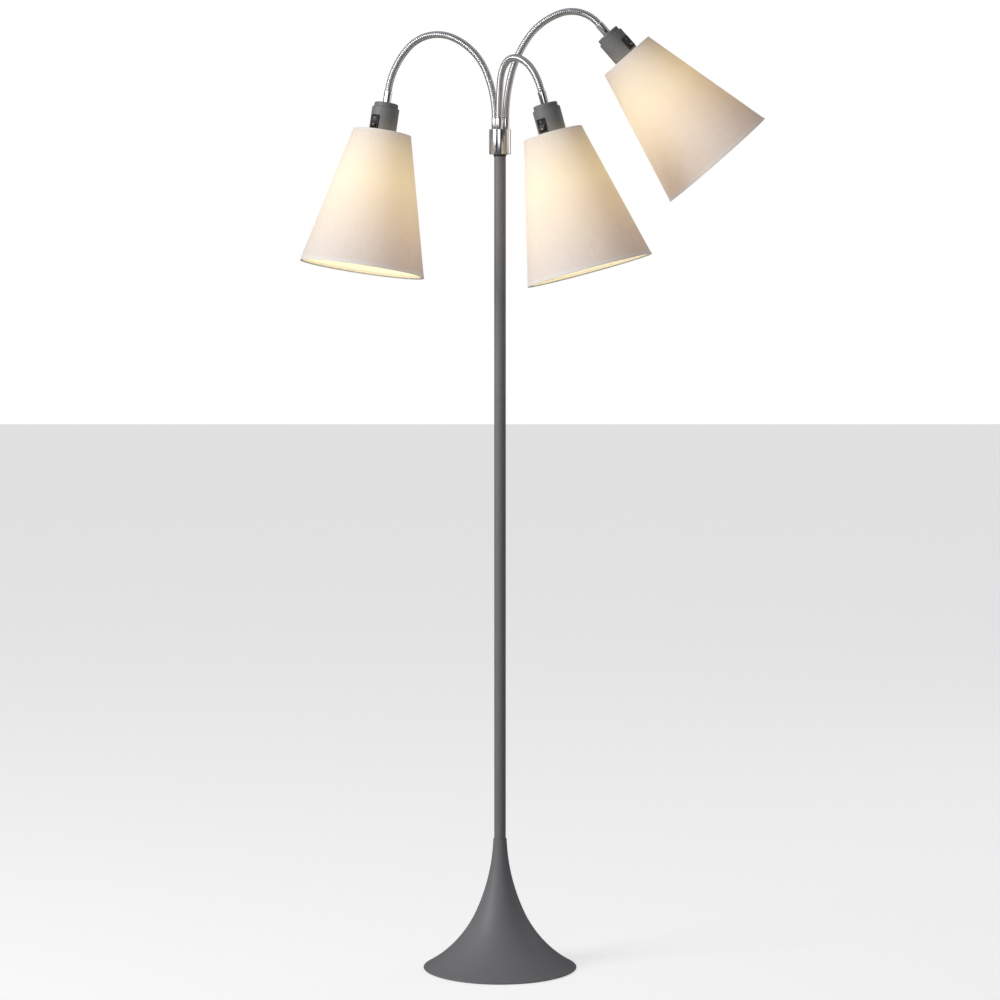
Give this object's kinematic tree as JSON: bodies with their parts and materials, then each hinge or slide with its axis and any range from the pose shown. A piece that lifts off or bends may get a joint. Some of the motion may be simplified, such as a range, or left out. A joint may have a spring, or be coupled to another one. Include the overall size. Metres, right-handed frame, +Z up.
{
  "type": "floor lamp",
  "caption": "Floor lamp with a trumpet foot, slim pole and flexible ribbed arms that each carry a switched lampholder and a cone fabric shade.",
  "frame": {"origin": "on the floor at the centre of the foot's underside, on the pole's axis", "axes": "+Z up along the pole; X to the viewer's right and Y away from the viewer as pictured; the cord inlet is at the back, +Y"},
  "size_m": [0.7137, 0.3528, 1.4892],
  "materials": {
    "grey_paint": "matt",
    "felt": "pressed felt",
    "cast_iron": "as cast",
    "plain_steel": "plain",
    "chrome": "polished",
    "black_plastic": "semi-gloss",
    "holder_plastic": "moulded",
    "block_plastic": "moulded",
    "lead_plastic": "smooth",
    "shade_fabric": "plain weave, lined",
    "white_wire": "satin",
    "opal_glass": "opal",
    "brass": "rolled thread"
  },
  "bodies": {
    "stand": {"base_shell": "grey_paint", "base_weight": "cast_iron", "base_plate": "plain_steel", "foot_pad": "felt", "base_nut": "plain_steel", "pole_foot": "plain_steel", "cord_bushing": "black_plastic", "pole": "grey_paint", "arm_cup": "chrome", "arm_plate": "plain_steel", "terminal_block": "block_plastic", "arm_leads": "lead_plastic", "left_lower_ferrule": "chrome", "middle_lower_ferrule": "chrome", "right_lower_ferrule": "chrome"},
    "left_neck_a": {"left_neck_1": "chrome"},
    "left_neck_b": {"left_neck_2": "chrome"},
    "left_neck_c": {"left_neck_3": "chrome"},
    "left_neck_d": {"left_neck_4": "chrome"},
    "left_head": {"left_upper_ferrule": "chrome", "left_socket_cap": "grey_paint", "left_socket_body": "grey_paint", "left_lampholder": "holder_plastic", "left_switch_case": "black_plastic", "left_shade": "shade_fabric", "left_shade_frame": "white_wire", "left_shade_ring": "holder_plastic", "left_bulb_glass": "opal_glass", "left_bulb_base": "brass"},
    "left_rocker": {"left_switch_rocker": "black_plastic"},
    "middle_neck_a": {"middle_neck_1": "chrome"},
    "middle_neck_b": {"middle_neck_2": "chrome"},
    "middle_neck_c": {"middle_neck_3": "chrome"},
    "middle_neck_d": {"middle_neck_4": "chrome"},
    "middle_head": {"middle_upper_ferrule": "chrome", "middle_socket_cap": "grey_paint", "middle_socket_body": "grey_paint", "middle_lampholder": "holder_plastic", "middle_switch_case": "black_plastic", "middle_shade": "shade_fabric", "middle_shade_frame": "white_wire", "middle_shade_ring": "holder_plastic", "middle_bulb_glass": "opal_glass", "middle_bulb_base": "brass"},
    "middle_rocker": {"middle_switch_rocker": "black_plastic"},
    "right_neck_a": {"right_neck_1": "chrome"},
    "right_neck_b": {"right_neck_2": "chrome"},
    "right_neck_c": {"right_neck_3": "chrome"},
    "right_neck_d": {"right_neck_4": "chrome"},
    "right_head": {"right_upper_ferrule": "chrome", "right_socket_cap": "grey_paint", "right_socket_body": "grey_paint", "right_lampholder": "holder_plastic", "right_switch_case": "black_plastic", "right_shade": "shade_fabric", "right_shade_frame": "white_wire", "right_shade_ring": "holder_plastic", "right_bulb_glass": "opal_glass", "right_bulb_base": "brass"},
    "right_rocker": {"right_switch_rocker": "black_plastic"}
  },
  "joints": [
    {"name": "left_swing", "type": "hinge", "parent": "stand", "child": "left_neck_a", "pos_m": [-0.00728, 0.00611, 1.3211], "axis": [0, 0, 1], "range_deg": [-30, 12], "deforming": ["arm_leads"]},
    {"name": "left_bend_1", "type": "hinge", "parent": "left_neck_a", "child": "left_neck_b", "pos_m": [-0.02177, 0.00789, 1.39289], "axis": [-0.0739, -0.9971, 0.0204], "range_deg": [-11, 4]},
    {"name": "left_bend_2", "type": "hinge", "parent": "left_neck_b", "child": "left_neck_c", "pos_m": [-0.07241, 0.01268, 1.44378], "axis": [-0.0533, -0.9962, 0.0686], "range_deg": [-11, 4]},
    {"name": "left_bend_3", "type": "hinge", "parent": "left_neck_c", "child": "left_neck_d", "pos_m": [-0.13987, 0.01527, 1.42895], "axis": [-0.0919, -0.9904, 0.1035], "range_deg": [-11, 4]},
    {"name": "left_tilt", "type": "hinge", "parent": "left_neck_d", "child": "left_head", "pos_m": [-0.17095, 0.0113, 1.36338], "axis": [0.985, -0.1056, -0.1365], "range_deg": [-11, 11]},
    {"name": "left_rocker_press", "type": "hinge", "parent": "left_head", "child": "left_rocker", "pos_m": [-0.19049, -0.00795, 1.31575], "axis": [-0.7662, 0.6402, 0.0556], "range_deg": [-16, 0]},
    {"name": "middle_swing", "type": "hinge", "parent": "stand", "child": "middle_neck_a", "pos_m": [-0.00165, -0.00936, 1.3211], "axis": [0, 0, 1], "range_deg": [-20, 5]},
    {"name": "middle_bend_1", "type": "hinge", "parent": "middle_neck_a", "child": "middle_neck_b", "pos_m": [0.00046, -0.01514, 1.37513], "axis": [0.8997, 0.4359, 0.0235], "range_deg": [-11, 3]},
    {"name": "middle_bend_2", "type": "hinge", "parent": "middle_neck_b", "child": "middle_neck_c", "pos_m": [0.0164, -0.04988, 1.40902], "axis": [0.8878, 0.4423, 0.1273], "range_deg": [-11, 3]},
    {"name": "middle_bend_3", "type": "hinge", "parent": "middle_neck_c", "child": "middle_neck_d", "pos_m": [0.04107, -0.09651, 1.39896], "axis": [0.8942, 0.3909, 0.2182], "range_deg": [-11, 3]},
    {"name": "middle_tilt", "type": "hinge", "parent": "middle_neck_d", "child": "middle_head", "pos_m": [0.06185, -0.12066, 1.35709], "axis": [-0.3638, 0.9185, -0.1547], "range_deg": [-11, 11]},
    {"name": "middle_rocker_press", "type": "hinge", "parent": "middle_head", "child": "middle_rocker", "pos_m": [0.06365, -0.1388, 1.30524], "axis": [-0.7511, 0.6146, -0.241], "range_deg": [-16, 0]},
    {"name": "right_swing", "type": "hinge", "parent": "stand", "child": "right_neck_a", "pos_m": [0.00893, 0.00325, 1.3211], "axis": [0, 0, 1], "range_deg": [-5, 30]},
    {"name": "right_bend_1", "type": "hinge", "parent": "right_neck_a", "child": "right_neck_b", "pos_m": [0.01659, 0.00474, 1.38471], "axis": [-0.1457, 0.9893, -0.0114], "range_deg": [-11, 6]},
    {"name": "right_bend_2", "type": "hinge", "parent": "right_neck_b", "child": "right_neck_c", "pos_m": [0.04269, 0.00925, 1.44285], "axis": [-0.1073, 0.9935, -0.0384], "range_deg": [-11, 6]},
    {"name": "right_bend_3", "type": "hinge", "parent": "right_neck_c", "child": "right_neck_d", "pos_m": [0.09267, 0.01613, 1.48092], "axis": [-0.0917, 0.9923, -0.0828], "range_deg": [-11, 6]},
    {"name": "right_tilt", "type": "hinge", "parent": "right_neck_d", "child": "right_head", "pos_m": [0.15106, 0.02023, 1.46543], "axis": [-0.7451, -0.1236, -0.6554], "range_deg": [-11, 11]},
    {"name": "right_rocker_press", "type": "hinge", "parent": "right_head", "child": "right_rocker", "pos_m": [0.19526, 0.00657, 1.43576], "axis": [-0.5316, -0.7071, -0.4663], "range_deg": [-16, 0]}
  ],
  "couplings": [
    {"joint": "left_bend_2", "follows": "left_bend_1", "ratio": 1},
    {"joint": "left_bend_3", "follows": "left_bend_1", "ratio": 1},
    {"joint": "middle_bend_2", "follows": "middle_bend_1", "ratio": 1},
    {"joint": "middle_bend_3", "follows": "middle_bend_1", "ratio": 1},
    {"joint": "right_bend_2", "follows": "right_bend_1", "ratio": 1},
    {"joint": "right_bend_3", "follows": "right_bend_1", "ratio": 1}
  ]
}
